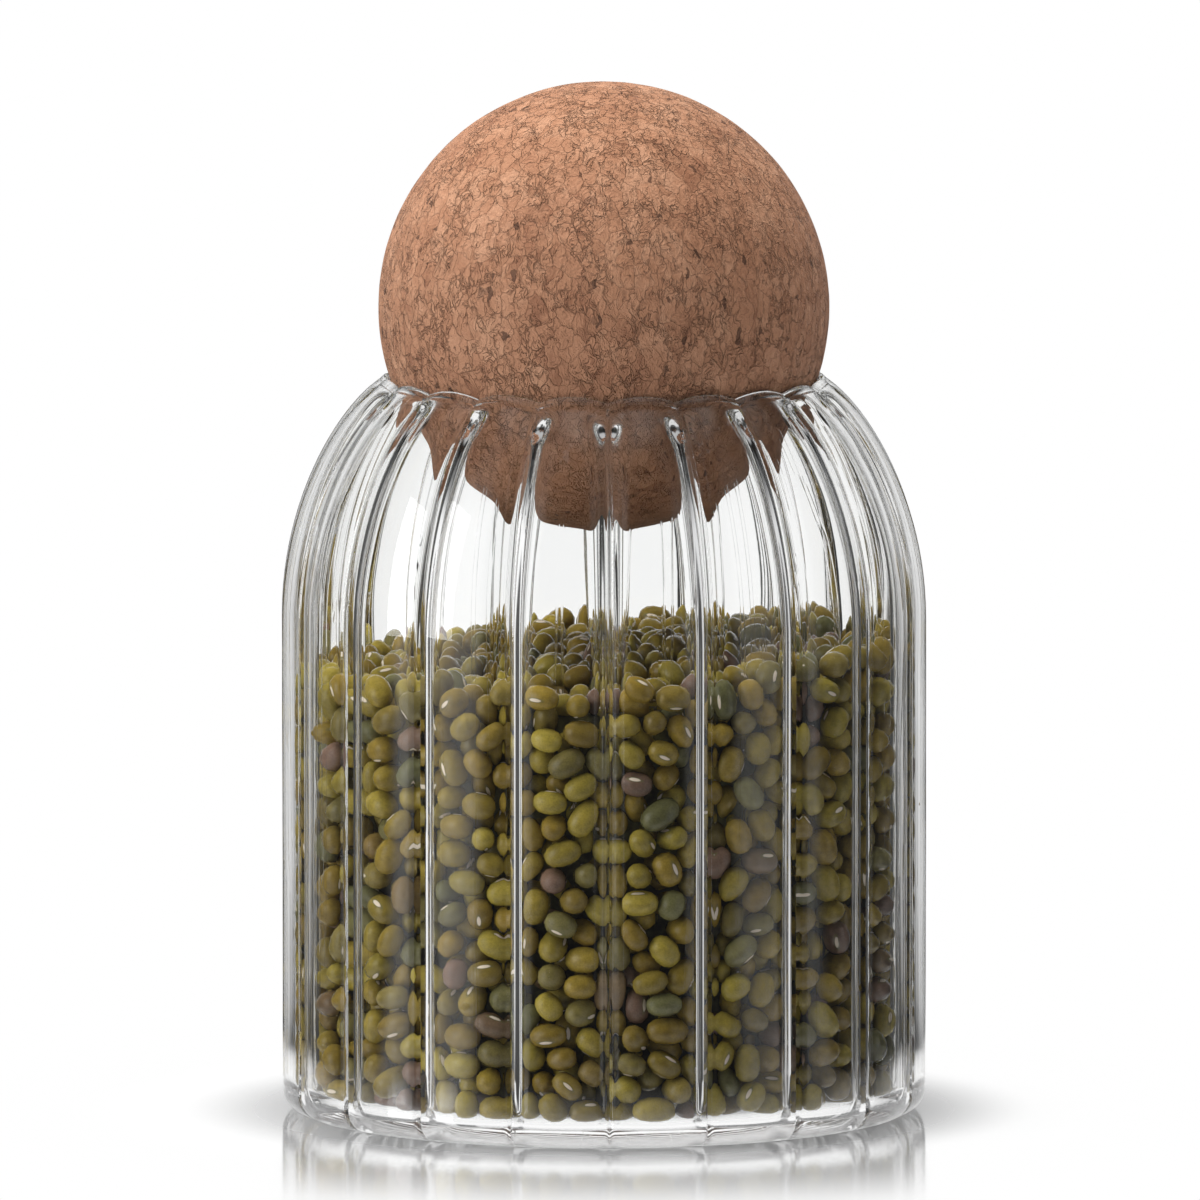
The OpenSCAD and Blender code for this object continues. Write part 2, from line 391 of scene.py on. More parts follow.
def glass_section(glass):
    """Rows of the radial section from the middle of the underside, up the outside and down the inside.

    Each row has a point, an outward direction, the depths of lobe, crease and rib there, a share of
    the blowing waves, with +1 outside and -1 inside, and how many times wider the rib is there.
    """
    rows = []

    def add(points, outs, lobe, crease, rib, wave, widening=1):
        count = len(points)
        parts = [np.broadcast_to(np.asarray(v, float), count) for v in (lobe, crease, rib, wave, widening)]
        rows.append(np.column_stack([points, outs, *parts]))

    foot = CREST_RADIUS - glass.heel
    inner = CREST_RADIUS - glass.wall
    wall_top = RIM_HEIGHT - glass.shoulder
    down = np.array([0, -1.0])
    out = np.array([1.0, 0])

    radius = np.linspace(0.03, 1, 5) * (foot - glass.foot)
    hollow = glass.punt * (1 - (radius / (foot - glass.foot)) ** 2)
    add(np.stack([radius, hollow], -1), np.tile(down, (5, 1)), 0, 0, 0, 0)
    add(np.array([[foot, 0.0]]), down[None], 0, 0, 0, 0)

    points, outs = arc([foot, glass.heel], glass.heel, -math.pi / 2, 0, 11)
    rise = np.linspace(0, 1, 11)
    add(points[1:], outs[1:], glass.lobe * rise[1:], glass.crease * rise[1:], 0, rise[1:])

    height = np.linspace(glass.heel, wall_top, 16)[1:-1]
    wall = np.stack([np.full(14, CREST_RADIUS), height], -1)
    add(wall, np.tile(out, (14, 1)), glass.lobe, glass.crease, 0, 1)

    t = 1 - (1 - np.linspace(0, 1, 38)) ** 1.5
    points, outs, lip_out, lip_run = shoulder_curve(glass, t)
    from_rim = np.linalg.norm(points - points[-1], axis=1)
    bead = glass.bead * np.exp(-((from_rim / (0.7 * MM)) ** 2))
    lobe = glass.lobe + (glass.rim_dip - glass.lobe) * t ** 3
    sharp = 1 - t ** 6
    add(points + bead[:, None] * outs, outs, lobe, glass.crease * sharp, 0, 1 - t)

    turn = np.linspace(0, math.pi, 10)[1:-1, None]
    round_radius = glass.lip / 2 + glass.bead * np.cos(turn / 2) ** 2
    edge = rim_centre(glass) + round_radius * (np.cos(turn) * lip_out + np.sin(turn) * lip_run)
    add(edge, np.tile(lip_out, (8, 1)), glass.rim_dip, 0, 0, 0)

    thickness = glass.wall + (glass.lip - glass.wall) * t
    inside = points - thickness[:, None] * outs
    gather = 1 + (glass.rib_gather - 1) * t ** 1.5
    melt = smooth_step(from_rim, 0.8 * MM, 3.4 * MM)
    rib = (glass.rib + glass.drop * np.exp(-(((from_rim - 4.5 * MM) / (2.2 * MM)) ** 2))) * melt
    add(inside[::-1], outs[::-1], lobe[::-1], 0, rib[::-1], (t - 1)[::-1], gather[::-1])

    height = np.linspace(wall_top, glass.floor + glass.corner, 16)[1:-1]
    wall = np.stack([np.full(14, inner), height], -1)
    add(wall, np.tile(out, (14, 1)), glass.lobe, 0, glass.rib, -1)

    centre = [inner - glass.corner, glass.floor + glass.corner]
    points, outs = arc(centre, glass.corner, 0, -math.pi / 2, 10)
    fall = np.linspace(1, 0, 10)
    add(points, outs, glass.lobe * fall, 0, glass.rib * fall, -fall)

    radius = np.linspace(1, 0.03, 6)[1:] * (inner - glass.corner)
    floor = np.stack([radius, np.full(5, glass.floor)], -1)
    add(floor, np.tile(down, (5, 1)), 0, 0, 0, 0)
    return np.vstack(rows)


def blowing_waves(direction, height, inside):
    """Slow unevenness of blown glass, from -1 to 1: a sum of sines round the jar and up it."""
    shift = np.where(inside, 1.7, 0.0)
    long = np.sin(3 * direction + 40 * height + shift) * np.sin(55 * height + 2 * shift)
    short = np.sin(14 * direction - 90 * height + 3 * shift) * np.sin(170 * height + direction + shift)
    return 0.6 * long + 0.4 * short


def glass_surface(glass, steps_per_flute=32):
    """The jar's skin as a function of row and direction.

    Each row's point is pushed inwards along its direction by lobe, crease and rib, moved in or out
    by the waves, and turned round the axis. Gives points, quads and triangles.
    """
    rows = glass_section(glass)
    direction, angle = flute_angles(glass, steps_per_flute)
    lobe, crease, rib = flute_shares(angle[None, :], glass, rows[:, 8:9])
    depth = rows[:, 4:5] * lobe + rows[:, 5:6] * crease + rows[:, 6:7] * rib
    waves = blowing_waves(direction[None, :], rows[:, 1:2], rows[:, 7:8] < 0)
    depth = depth - glass.wave * np.abs(rows[:, 7:8]) * waves
    radius = rows[:, 0:1] - depth * rows[:, 2:3]
    height = rows[:, 1:2] - depth * rows[:, 3:4]
    points = np.stack([radius * np.cos(direction), radius * np.sin(direction), height], -1)
    poles = [[0, 0, glass.punt], [0, 0, glass.floor]]
    quads, triangles = revolve_faces(len(rows), len(direction))
    return np.vstack([points.reshape(-1, 3), poles]), quads, triangles


def glass_material(glass):
    """Clear glass with faint drawn streaks in its surface, which lets lamps shine through."""
    material, tree, shader, place = new_material("Blown glass")
    shader.inputs["Base Color"].default_value = (*glass.tint, 1)
    shader.inputs["IOR"].default_value = glass.refraction
    shader.inputs["Transmission Weight"].default_value = 1
    stretched = add_node(tree, "ShaderNodeMapping", {"Vector": place, "Scale": (1, 1, 0.12)}).outputs[0]
    streaks = mottle(tree, stretched, 260, 0.3)
    tree.links.new(between(tree, streaks, 0.56, 0.8, 0.0, 0.012), shader.inputs["Roughness"])
    level = add_node(tree, "ShaderNodeVectorMath", {0: place, 1: (1, 1, 0)}, operation="MULTIPLY").outputs[0]
    round_it = add_node(tree, "ShaderNodeVectorMath", {0: level}, operation="NORMALIZE").outputs[0]
    drawn = add_node(tree, "ShaderNodeMapping", {"Vector": place, "Scale": (0, 0, 0.03)}).outputs[0]
    upright = add_node(tree, "ShaderNodeVectorMath", {
        0: round_it, 1: (CREST_RADIUS, CREST_RADIUS, 0), 2: drawn,
    }, operation="MULTIPLY_ADD").outputs[0]
    drawn_lines = wrinkle_lines(tree, upright, 240.0, 0.010)
    height = maths(tree, "ADD", maths(tree, "MULTIPLY", streaks, 0.15), maths(tree, "MULTIPLY", drawn_lines, 0.5))
    bump = add_node(tree, "ShaderNodeBump", {"Height": height, "Strength": 0.3, "Distance": 0.04 * MM})
    tree.links.new(bump.outputs[0], shader.inputs["Normal"])
    shadow_ray = add_node(tree, "ShaderNodeLightPath").outputs["Is Shadow Ray"]
    clear = add_node(tree, "ShaderNodeBsdfTransparent", {"Color": (0.94, 0.95, 0.945, 1)})
    mixed = add_node(tree, "ShaderNodeMixShader", {0: shadow_ray, 1: shader.outputs[0], 2: clear.outputs[0]})
    tree.links.new(mixed.outputs[0], tree.nodes["Material Output"].inputs["Surface"])
    return material


class JAR_OT_blow_glass(bpy.types.Operator):
    """Blow the fluted glass jar"""

    bl_idname = "jar.blow_glass"
    bl_label = "Blow Glass"

    def execute(self, context):
        glass = context.scene.fluted_jar.glass
        piece = make_piece("blown_jar", *glass_surface(glass), "jar", "clear_glass")
        piece.data.materials.append(glass_material(glass))
        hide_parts("glass_jar")
        return {"FINISHED"}


# Beans

def glass_limit(spot, reach, glass):
    """How far from the axis beads of some size can lie: the inner wall less lobe and rib, and its corner.

    The rib is taken wider by the bead's own size, because a round bead can't lie close beside it.
    """
    crest = math.pi / glass.flutes
    angle = np.abs((np.arctan2(spot[:, 1], spot[:, 0]) + math.pi / 2 + crest) % (2 * crest) - crest)
    inner = CREST_RADIUS - glass.wall
    rib_half = (glass.rib_width / 2 + 0.75 * reach) / inner
    rib = glass.rib * 2.0 ** -((angle / rib_half) ** 2)
    room = np.maximum(glass.corner - reach, 0)
    low = np.clip(glass.floor + glass.corner - spot[:, 2], 0, room)
    corner = room - np.sqrt(room ** 2 - low ** 2)
    return inner - reach - glass.lobe * (1 - angle / crest) ** 2 - rib - corner


def heap_height(x, y, beans):
    """Height of the heap's surface at a place: a low dome on a slope, with a few hollows and mounds."""
    slope = math.tan(beans.heap_slope)
    middle = HEAP_HIGH.z + beans.heap_rise - HEAP_HIGH.x * slope
    dome = -beans.heap_rise * (x ** 2 + y ** 2) / HEAP_HIGH.x ** 2
    mounds = 0.6 * MM * (np.sin(130 * x + 1.0) * np.cos(95 * y + 0.4) + 0.5 * np.sin(210 * y + 150 * x))
    return middle + slope * x + dome + mounds


def close_pairs(points, reach):
    """Index pairs of points nearer than reach: sorted by height, each is compared with the next few hundred."""
    order = np.argsort(points[:, 2], kind="stable")
    heights = points[order, 2]
    ends = np.searchsorted(heights, heights + reach)
    window = int((ends - np.arange(len(points))).max())
    first = np.repeat(np.arange(len(points)), window - 1)
    second = first + np.tile(np.arange(1, window), len(points))
    inside = second < len(points)
    first, second = first[inside], second[inside]
    near = heights[second] - heights[first] < reach
    first, second = order[first[near]], order[second[near]]
    gap = ((points[first] - points[second]) ** 2).sum(1)
    touching = gap < reach ** 2
    return first[touching], second[touching]


def even_spots(count, lowest, highest):
    """Evenly strewn points in a box: multiples of three irrational shares, without their whole parts."""
    steps = np.arange(1, count + 1)[:, None]
    return lowest + steps * np.array([0.8191725134, 0.6710436067, 0.5497004779]) % 1 * (highest - lowest)


def loose_room(spot, beans, glass):
    """Whether each point lies in the shell of loose beans: behind the glass, on the floor or under the top."""
    bead = beans.thickness
    depth = beans.layers * 2 * bead
    floor = HEAP_LOW.z
    out = np.hypot(spot[:, 0], spot[:, 1])
    top = heap_height(spot[:, 0], spot[:, 1], beans)
    radius = CREST_RADIUS - glass.wall
    inside = (out < radius - 1.2 * bead) & (spot[:, 2] < top - bead / 2) & (spot[:, 2] > floor + bead)
    return inside & ((out > radius - depth) | (spot[:, 2] > top - depth) | (spot[:, 2] < floor + depth / 2))


def relax(middle, axis, size, rounds, beans, glass):
    """Pushes overlapping beans apart for some rounds, and gives their middles and axes.

    A bean is two beads a fixed way apart. In every round overlapping beads push each other away, all
    drift towards the glass and down, and glass, floor, heap and core push them back. Then each pair
    is set to its right distance again. Long beans so come to lie flat against the glass.
    """
    bead = beans.thickness
    apart = beans.half_length - beans.thickness
    depth = beans.layers * 2 * bead
    floor = HEAP_LOW.z
    radius = CREST_RADIUS - glass.wall
    count = len(middle)
    beads = np.concatenate([middle + axis * apart, middle - axis * apart])
    own = np.tile(np.arange(count), 2)
    reach = bead * np.tile(size, 2)
    for step in range(rounds):
        if step % 10 == 0:
            first, second = close_pairs(beads, 2.5 * bead)
            not_own = own[first] != own[second]
            first, second = first[not_own], second[not_own]
        way = beads[second] - beads[first]
        gap = np.linalg.norm(way, axis=1) + 1e-9
        push = np.clip(reach[first] + reach[second] - gap, 0, None) * 0.4 / gap
        shove = way * push[:, None]
        for side in range(3):
            beads[:, side] += np.bincount(second, shove[:, side], len(beads))
            beads[:, side] -= np.bincount(first, shove[:, side], len(beads))
        out = np.hypot(beads[:, 0], beads[:, 1])
        heading = beads[:, :2] / out[:, None]
        limit = glass_limit(beads, reach, glass)
        top = heap_height(beads[:, 0], beads[:, 1], beans) - reach * 0.5
        moved = np.where(out > radius - depth, np.minimum(out + 0.02 * MM, limit), out)
        core_out = radius - depth - bead
        core_top = top - depth - bead
        core_low = floor + depth / 2 + bead
        in_core = (moved < core_out) & (beads[:, 2] < core_top) & (beads[:, 2] > core_low)
        escapes = np.stack([core_out - moved, beads[:, 2] - core_low, core_top - beads[:, 2]], -1)
        nearest = escapes.argmin(1)
        nudge = np.minimum(escapes.min(1), 0.3 * MM)
        moved = moved + np.where(in_core & (nearest == 0), nudge, 0)
        beads[:, :2] = heading * np.minimum(moved, limit)[:, None]
        beads[:, 2] += np.where(in_core & (nearest == 2), nudge, 0) - np.where(in_core & (nearest == 1), nudge, 0)
        beads[:, 2] = np.clip(beads[:, 2] - 0.01 * MM, floor + reach, top)
        middle = (beads[:count] + beads[count:]) / 2
        axis = beads[:count] - beads[count:]
        axis /= np.linalg.norm(axis, axis=1)[:, None] + 1e-9
        beads[:count] = middle + axis * apart
        beads[count:] = middle - axis * apart
    return middle, axis


def void_spots(middle, spots, clearance):
    """The spots that lie farther than a clearance from every bean's middle and from each other."""
    kept = [tuple(point) for point in middle]
    new = []
    tree = KDTree(len(kept))
    for index, point in enumerate(kept):
        tree.insert(point, index)
    tree.balance()
    for spot in spots:
        if tree.find(spot)[2] > clearance and all(math.dist(spot, other) > clearance for other in new):
            new.append(tuple(spot))
    return np.array(new).reshape(-1, 3)


def settle_beans(beans, glass):
    """Packs loose beans between the glass and a hidden core, and gives their middles, axes and sizes.

    They are strewn evenly and relaxed. Then the voids that are left get a bean each, and all relax again.
    """
    rng = np.random.default_rng(beans.seed)
    bead = beans.thickness
    apart = beans.half_length - beans.thickness
    radius = CREST_RADIUS - glass.wall
    lowest = np.array([-radius, -radius, HEAP_LOW.z])
    highest = np.array([radius, radius, HEAP_HIGH.z + bead])
    spots = even_spots(60000, lowest, highest)
    kept = loose_room(spots, beans, glass)
    each = math.pi * bead ** 2 * (4 / 3 * bead + 2 * apart)
    count = int(kept.mean() * np.prod(highest - lowest) * beans.fill / each)
    spots = spots[kept]
    middle = spots[np.linspace(0, len(spots) - 1, count).astype(int)]

    def draw(number):
        axes = rng.normal(size=(number, 3))
        return axes / np.linalg.norm(axes, axis=1)[:, None], 1 + beans.spread * rng.uniform(-1, 1, number)

    axis, size = draw(count)
    for rounds in (beans.rounds // 2, beans.rounds // 4, beans.rounds // 4):
        middle, axis = relax(middle, axis, size, rounds, beans, glass)
        if rounds == beans.rounds // 4 and len(middle) > count:
            continue
        more = void_spots(middle, spots, 1.75 * bead)
        more_axis, more_size = draw(len(more))
        middle = np.vstack([middle, more])
        axis = np.vstack([axis, more_axis])
        size = np.concatenate([size, more_size])
    middle, axis = relax(middle, axis, size, beans.rounds // 4, beans, glass)
    return middle, axis, size, rng


def bean_shape(beans, around, along):
    """One bean at the origin, long in x: a function of the angle round it and the way along it.

    Its radius follows a rounded box curve, the (2.3)th root of one less the (2.3)th power of the way
    along, and it is a little flat on the side of its scar. Gives points, quads, triangles and the
    texture place of each face corner, with u round the bean and v along it.
    """
    power = 2.3
    turn = np.linspace(0, FULL_TURN, around, endpoint=False)
    way = -np.cos(np.linspace(0, math.pi, along + 1)[1:-1])
    girth = (1 - np.abs(way) ** power) ** (1 / power)
    flat = 1 - 0.08 * np.clip(-np.cos(turn), 0, 1) ** 4
    x = np.repeat(way[:, None] * beans.half_length, around, 1)
    y = girth[:, None] * beans.thickness * np.cos(turn) * flat
    z = girth[:, None] * beans.thickness * np.sin(turn) * 0.97
    ends = [[-beans.half_length, 0, 0], [beans.half_length, 0, 0]]
    points = np.vstack([np.stack([x, y, z], -1).reshape(-1, 3), ends])
    quads, triangles = revolve_faces(along - 1, around)
    along_v = (way + 1) / 2

    def corner_places(faces, steps):
        column = np.arange(around)[None, :, None] + np.asarray(steps)[None, None, :]
        return np.broadcast_to(column / around, (len(faces) // around, around, len(steps))).reshape(-1)

    quad_u = corner_places(quads, [0, 1, 1, 0])
    quad_v = np.repeat(along_v, around)[quads.ravel()]
    first, last = triangles[:around], triangles[around:]
    tri_u = np.concatenate([corner_places(first, [1, 0, 0.5]), corner_places(last, [0, 1, 0.5])])
    tri_v = np.concatenate([
        np.tile([along_v[0], along_v[0], 0.0], around),
        np.tile([along_v[-1], along_v[-1], 1.0], around),
    ])
    places = np.stack([np.concatenate([quad_u, tri_u]), np.concatenate([quad_v, tri_v])], -1)
    return points, quads, triangles, places, len(quad_u)


def bean_frames(axis, beans, rng):
    """Three square directions for each bean: its long axis, drawn out a little, and two across it."""
    helper = np.where(np.abs(axis[:, 2:3]) < 0.9, [[0.0, 0.0, 1.0]], [[1.0, 0.0, 0.0]])
    across = np.cross(axis, helper)
    across /= np.linalg.norm(across, axis=1)[:, None]
    third = np.cross(axis, across)
    roll = rng.uniform(0, FULL_TURN, len(axis))[:, None]
    side = across * np.cos(roll) + third * np.sin(roll)
    stretch = 1 + beans.stretch * rng.uniform(-1, 1, len(axis))[:, None]
    return np.stack([axis * stretch, side, np.cross(axis, side)], 1)


def bean_piece(name, middle, frames, size, tone, beans, around, along):
    """One mesh of many beans: the bean's points scaled, turned by each frame and moved to each middle."""
    points, quads, triangles, places, quad_corners = bean_shape(beans, around, along)
    count = len(middle)
    placed = np.einsum("pk,nkc->npc", points, frames) * size[:, None, None] + middle[:, None, :]
    shift = (np.arange(count) * len(points))[:, None, None]
    all_quads = (quads[None] + shift).reshape(-1, 4)
    all_triangles = (triangles[None] + shift).reshape(-1, 3)
    piece = make_piece(name, placed.reshape(-1, 3), all_quads, all_triangles, "jar", "bean_skin")
    uv = np.concatenate([np.tile(places[:quad_corners], (count, 1)), np.tile(places[quad_corners:], (count, 1))])
    layer = piece.data.uv_layers.new(name="skin")
    layer.data.foreach_set("uv", uv.astype(np.float32).ravel())
    tones = piece.data.attributes.new("tone", "FLOAT_COLOR", "POINT")
    tones.data.foreach_set("color", np.repeat(tone, len(points), 0).astype(np.float32).ravel())
    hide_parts("mung_beans")
    return piece


def bean_material(beans):
    """Smooth bean skin: its green by the bean's own draw, mottled, with a pale scar and a soft gloss."""
    material, tree, shader, place = new_material("Bean skin")
    tone = add_node(tree, "ShaderNodeAttribute", attribute_name="tone")
    draw = add_node(tree, "ShaderNodeSeparateColor", {"Color": tone.outputs["Color"]}).outputs
    spots = mottle(tree, place, 900, 0.5)
    skin = blend_colours(tree, between(tree, draw[0], 0.35, 1.0), beans.green, beans.bright)
    skin = blend_colours(tree, between(tree, draw[0], 0.35, 0.0), skin, beans.dull)
    skin = blend_colours(tree, between(tree, draw[1], 0.90, 0.96), skin, beans.brown)
    shade = between(tree, spots, 0.25, 0.75, 0.78, 1.22)
    bright = between(tree, draw[2], 0.0, 1.0, 0.75, 1.2, smooth=False)
    shade = maths(tree, "MULTIPLY", shade, bright)
    grey = add_node(tree, "ShaderNodeCombineColor", {0: shade, 1: shade, 2: shade}).outputs[0]
    skin = blend_colours(tree, 1.0, skin, grey, "MULTIPLY")

    uv = add_node(tree, "ShaderNodeUVMap", uv_map="skin").outputs[0]
    at = add_node(tree, "ShaderNodeSeparateXYZ", {0: uv}).outputs
    round_it = maths(tree, "DIVIDE", maths(tree, "SUBTRACT", at[0], 0.5), 0.023)
    along_it = maths(tree, "DIVIDE", maths(tree, "SUBTRACT", at[1], 0.5), 0.17)
    away = maths(tree, "ADD", maths(tree, "POWER", round_it, 2.0), maths(tree, "POWER", along_it, 2.0))
    edge = between(tree, away, 3.2, 1.6)
    scar = between(tree, away, 1.3, 0.7)
    skin = blend_colours(tree, maths(tree, "MULTIPLY", edge, 0.55), skin, beans.dull)
    skin = blend_colours(tree, scar, skin, beans.scar)
    tree.links.new(skin, shader.inputs["Base Color"])
    tree.links.new(between(tree, spots, 0.3, 0.7, 0.17, 0.27), shader.inputs["Roughness"])
    shader.inputs["Specular IOR Level"].default_value = 0.5
    height = maths(tree, "ADD", maths(tree, "MULTIPLY", spots, 0.25), scar)
    bump = add_node(tree, "ShaderNodeBump", {"Height": height, "Strength": 0.35, "Distance": 0.1 * MM})
    tree.links.new(bump.outputs[0], shader.inputs["Normal"])
    return material


def painted_shade_material():
    """Painted shade between the beans: a near black to deep green, mottled in the size of beans, that stands for the
    beans further in lying in shade.
    """
    material, tree, shader, place = new_material("Painted bean shade")
    # The mottle mixes the two colours of the painted shade.
    depth = between(tree, mottle(tree, place, 250, 0.5), 0.35, 0.65)
    tree.links.new(blend_colours(tree, depth, (0.010, 0.008, 0.004), (0.045, 0.040, 0.012)), shader.inputs["Base Color"])
    shader.inputs["Roughness"].default_value = 0.8
    return material


def core_surface(beans, glass, rows=14, columns=72):
    """The hidden heap behind the loose beans: the heap's solid drawn in by the loose layers.

    A profile of floor, wall and sloping top is turned round the axis, and its top follows the heap.
    """
    depth = (beans.layers - 0.75) * 2 * beans.thickness
    radius = CREST_RADIUS - glass.wall - depth
    low = HEAP_LOW.z + depth / 2
    turn = np.linspace(0, FULL_TURN, columns, endpoint=False)
    outwards = np.concatenate([np.linspace(0.1, 1, rows // 2), np.linspace(1, 0.1, rows - rows // 2)])
    x = radius * outwards[:, None] * np.cos(turn)
    y = radius * outwards[:, None] * np.sin(turn)
    is_top = (np.arange(rows) >= rows // 2)[:, None]
    z = np.where(is_top, heap_height(x, y, beans) - depth, low)
    poles = [[0, 0, low], [0, 0, float(heap_height(0, 0, beans)) - depth]]
    quads, triangles = revolve_faces(rows, columns)
    return np.vstack([np.stack([x, y, z], -1).reshape(-1, 3), poles]), quads, triangles


class JAR_OT_pour_beans(bpy.types.Operator):
    """Pour the beans and let them settle behind the glass"""

    bl_idname = "jar.pour_beans"
    bl_label = "Pour Beans"

    def execute(self, context):
        beans = context.scene.fluted_jar.beans
        glass = context.scene.fluted_jar.glass
        middle, axis, size, rng = settle_beans(beans, glass)
        frames = bean_frames(axis, beans, rng)
        tone = rng.uniform(0, 1, (len(middle), 4))
        out = np.hypot(middle[:, 0], middle[:, 1])
        top = heap_height(middle[:, 0], middle[:, 1], beans)
        on_top = middle[:, 2] > top - 1.6 * 2 * beans.thickness
        at_glass = ~on_top & (out > CREST_RADIUS - glass.wall - 1.5 * 2 * beans.thickness)
        behind = ~on_top & ~at_glass
        material = bean_material(beans)
        groups = (("beans_on_top", on_top, 12, 7), ("beans_at_glass", at_glass, 12, 7), ("beans_behind", behind, 8, 6))
        for name, chosen, around, along in groups:
            piece = bean_piece(
                name, middle[chosen], frames[chosen], size[chosen], tone[chosen], beans, around, along
            )
            piece.data.materials.append(material)
            print(name, int(chosen.sum()), len(piece.data.polygons))
        # The hidden core wears painted shade, which shows in the gaps between the loose beans.
        core = make_piece("bean_core", *core_surface(beans, glass), "jar", "bean_skin")
        core.data.materials.append(painted_shade_material())
        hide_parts("mung_beans")
        return {"FINISHED"}


# Cork

def cork_surface(cork, rows=170, columns=340):
    """The ball: a sphere by latitude and longitude, whose radius has a shallow uneven relief.

    The relief is a sum of sines of the place in three directions, each with its own wavelength.
    """
    lift = np.linspace(-math.pi / 2, math.pi / 2, rows + 2)[1:-1, None]
    turn = np.linspace(0, FULL_TURN, columns, endpoint=False)[None, :]
    way = np.stack([np.cos(lift) * np.cos(turn), np.cos(lift) * np.sin(turn), np.sin(lift) + 0 * turn], -1)
    rng = np.random.default_rng(5)
    bumps = np.zeros(way.shape[:2])
    for wavelength, height in ((9 * MM, 0.5), (5 * MM, 0.3), (3 * MM, 0.2)):
        for _ in range(6):
            lean = rng.normal(size=3)
            lean /= np.linalg.norm(lean)
            phase = rng.uniform(0, FULL_TURN)
            bumps += height / 6 * np.sin((way @ lean) * BALL_RADIUS * FULL_TURN / wavelength + phase)
    radius = BALL_RADIUS - cork.relief * (0.5 + 0.5 * np.clip(bumps * 2, -1, 1))
    centre = np.array(BALL_CENTRE)
    points = way * radius[..., None] + centre
    poles = [centre - [0, 0, BALL_RADIUS], centre + [0, 0, BALL_RADIUS]]
    quads, triangles = revolve_faces(rows, columns)
    return np.vstack([points.reshape(-1, 3), poles]), quads, triangles


def cork_material(cork):
    """Pressed cork: smooth granules in close browns, parted by wrinkles and cracks, with specks of bark. The cracks
    and wrinkles are grooves in the bump, and their darker colour is painted shade in them.
    """
    material, tree, shader, place = new_material("Pressed cork")
    centred = add_node(tree, "ShaderNodeMapping", {"Vector": place, "Location": tuple(-BALL_CENTRE)}).outputs[0]
    warp = add_node(tree, "ShaderNodeTexNoise", {"Vector": centred, "Scale": 380.0, "Detail": 3.0})
    pull = add_node(tree, "ShaderNodeVectorMath", {0: warp.outputs["Color"], 1: (0.5, 0.5, 0.5)}, operation="SUBTRACT")
    pull = add_node(tree, "ShaderNodeVectorMath", {0: pull.outputs[0], "Scale": 3.0 * MM}, operation="SCALE")
    warped = add_node(tree, "ShaderNodeVectorMath", {0: centred, 1: pull.outputs[0]}, operation="ADD").outputs[0]
    squashed = add_node(tree, "ShaderNodeMapping", {"Vector": warped, "Scale": (1.35, 1.35, 0.72)}).outputs[0]
    scale = 1 / cork.granule
    cells = add_node(tree, "ShaderNodeTexVoronoi", {"Vector": squashed, "Scale": scale})
    edges = add_node(tree, "ShaderNodeTexVoronoi", {"Vector": squashed, "Scale": scale}, feature="DISTANCE_TO_EDGE")
    chips = add_node(tree, "ShaderNodeTexVoronoi", {"Vector": squashed, "Scale": scale * 2.4})
    big_draw = add_node(tree, "ShaderNodeSeparateColor", {0: cells.outputs["Color"]}).outputs
    chip_draw = add_node(tree, "ShaderNodeSeparateColor", {0: chips.outputs["Color"]}).outputs

    lean = add_node(tree, "ShaderNodeVectorRotate", {
        "Vector": squashed, "Angle": maths(tree, "MULTIPLY", big_draw[2], 2.6), "Axis": (0.3, 0.8, 0.5),
    })
    grain = add_node(tree, "ShaderNodeMapping", {"Vector": lean.outputs[0], "Scale": (1, 1, 0.3)}).outputs[0]
    fibres = add_node(tree, "ShaderNodeTexNoise", {"Vector": grain, "Scale": 2200.0, "Detail": 2.0}).outputs["Fac"]
    cloud = mottle(tree, centred, 70, 0.4)
    crumpled = mottle(tree, centred, 210, 0.5)
    rough_patch = between(tree, crumpled, 0.44, 0.60)
    wrinkles = wrinkle_lines(tree, grain, 520.0, 0.024)
    fine_wrinkles = maths(tree, "MULTIPLY", wrinkle_lines(tree, squashed, 950.0, 0.030), 0.7)
    wrinkles = maths(tree, "MULTIPLY", maths(tree, "MAXIMUM", wrinkles, fine_wrinkles), rough_patch)
    seam = between(tree, edges.outputs["Distance"], 0.035, 0.0)
    seam = maths(tree, "MULTIPLY", seam, between(tree, crumpled, 0.42, 0.62, 0.2, 0.8))
    crack = maths(tree, "MAXIMUM", wrinkles, seam)

    level = maths(tree, "ADD", maths(tree, "MULTIPLY", big_draw[0], 0.30), maths(tree, "MULTIPLY", chip_draw[0], 0.20))
    level = maths(tree, "ADD", level, maths(tree, "MULTIPLY", fibres, 0.50))
    level = maths(tree, "ADD", level, between(tree, cloud, 0.35, 0.65, -0.15, 0.15))
    brown = blend_colours(tree, between(tree, level, 0.45, 0.85), cork.middle, cork.pale)
    brown = blend_colours(tree, between(tree, level, 0.45, 0.15), brown, cork.deep)
    speck = between(tree, chip_draw[2], 0.984, 0.990)
    brown = blend_colours(tree, maths(tree, "MULTIPLY", speck, 0.8), brown, cork.bark)
    # Painted shade: the grooves of cracks and wrinkles get a little of the bark's dark colour.
    brown = blend_colours(tree, maths(tree, "MULTIPLY", crack, 0.11), brown, cork.bark)
    tree.links.new(brown, shader.inputs["Base Color"])
    tree.links.new(between(tree, fibres, 0.3, 0.7, 0.55, 0.75), shader.inputs["Roughness"])
    shader.inputs["Specular IOR Level"].default_value = 0.2

    height = maths(tree, "SUBTRACT", maths(tree, "MULTIPLY", fibres, 0.45), crack)
    height = maths(tree, "ADD", height, maths(tree, "MULTIPLY", big_draw[0], 0.5))
    height = maths(tree, "ADD", height, maths(tree, "MULTIPLY", crumpled, 0.8))
    bump = add_node(tree, "ShaderNodeBump", {"Height": height, "Strength": 1.0, "Distance": 0.6 * MM})
    tree.links.new(bump.outputs[0], shader.inputs["Normal"])
    return material


